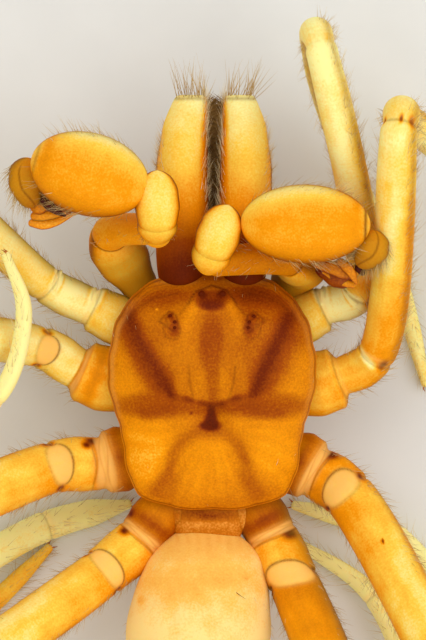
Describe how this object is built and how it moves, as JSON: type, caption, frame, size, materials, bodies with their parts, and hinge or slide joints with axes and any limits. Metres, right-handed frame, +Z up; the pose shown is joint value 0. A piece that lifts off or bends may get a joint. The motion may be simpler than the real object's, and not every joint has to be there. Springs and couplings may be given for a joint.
{
  "type": "purse-web spider",
  "caption": "Life-size still model of a male Calommata sundaica with swollen palps and long chelicerae, standing on its tarsi.",
  "frame": {"origin": "on the floor, under the middle of the whole animal's bounding box", "axes": "+X to the spider's right, +Y towards its head, +Z up from the floor"},
  "size_m": [0.0136, 0.0152, 0.0052],
  "materials": {
    "carapace_amber": "smooth translucent amber cuticle with fine wrinkles",
    "chelicera_russet": "glossy orange to red-brown cuticle",
    "limb_amber": "glossy orange cuticle with fine hairs",
    "limb_pale": "pale yellow cuticle and membrane",
    "abdomen_cream": "soft cream-peach skin with sparse short hairs",
    "fang_dark": "hard dark red-brown cuticle",
    "eye_dark": "wet dark lens",
    "bulb_red": "glossy red-brown sclerite"
  },
  "bodies": {
    "root": {"carapace": "carapace_amber", "sternum": "limb_amber", "pedicel": "limb_amber", "chelicera_left": "chelicera_russet", "fang_left": "fang_dark", "eye_median_left": "eye_dark", "eye_group_left": "eye_dark", "chelicera_right": "chelicera_russet", "fang_right": "fang_dark", "eye_median_right": "eye_dark", "eye_group_right": "eye_dark", "abdomen": "abdomen_cream", "spinneret_left": "limb_pale", "spinneret_right": "limb_pale", "leg_1_left_coxa": "limb_pale", "leg_1_left_femur": "limb_amber", "leg_1_left_tibia": "limb_amber", "leg_1_left_tarsus": "limb_pale", "leg_1_right_coxa": "limb_pale", "leg_1_right_femur": "limb_amber", "leg_1_right_tibia": "limb_amber", "leg_1_right_tarsus": "limb_pale", "leg_2_left_coxa": "limb_pale", "leg_2_left_femur": "limb_amber", "leg_2_left_tibia": "limb_amber", "leg_2_left_tarsus": "limb_pale", "leg_2_right_coxa": "limb_pale", "leg_2_right_femur": "limb_amber", "leg_2_right_tibia": "limb_amber", "leg_2_right_tarsus": "limb_pale", "leg_3_left_coxa": "limb_pale", "leg_3_left_femur": "limb_amber", "leg_3_left_tibia": "limb_amber", "leg_3_left_tarsus": "limb_pale", "leg_3_right_coxa": "limb_pale", "leg_3_right_femur": "limb_amber", "leg_3_right_tibia": "limb_amber", "leg_3_right_tarsus": "limb_pale", "leg_4_left_coxa": "limb_pale", "leg_4_left_femur": "limb_amber", "leg_4_left_tibia": "limb_amber", "leg_4_left_tarsus": "limb_pale", "leg_4_right_coxa": "limb_pale", "leg_4_right_femur": "limb_amber", "leg_4_right_tibia": "limb_amber", "leg_4_right_tarsus": "limb_pale", "palp_left_coxa": "limb_pale", "palp_left_femur": "limb_amber", "palp_left_patella": "limb_pale", "palp_left_tibia": "limb_amber", "palp_left_cymbium": "limb_pale", "palp_left_bulb": "bulb_red", "palp_right_coxa": "limb_pale", "palp_right_femur": "limb_amber", "palp_right_patella": "limb_pale", "palp_right_tibia": "limb_amber", "palp_right_cymbium": "limb_pale", "palp_right_bulb": "bulb_red"}
  },
  "joints": []
}
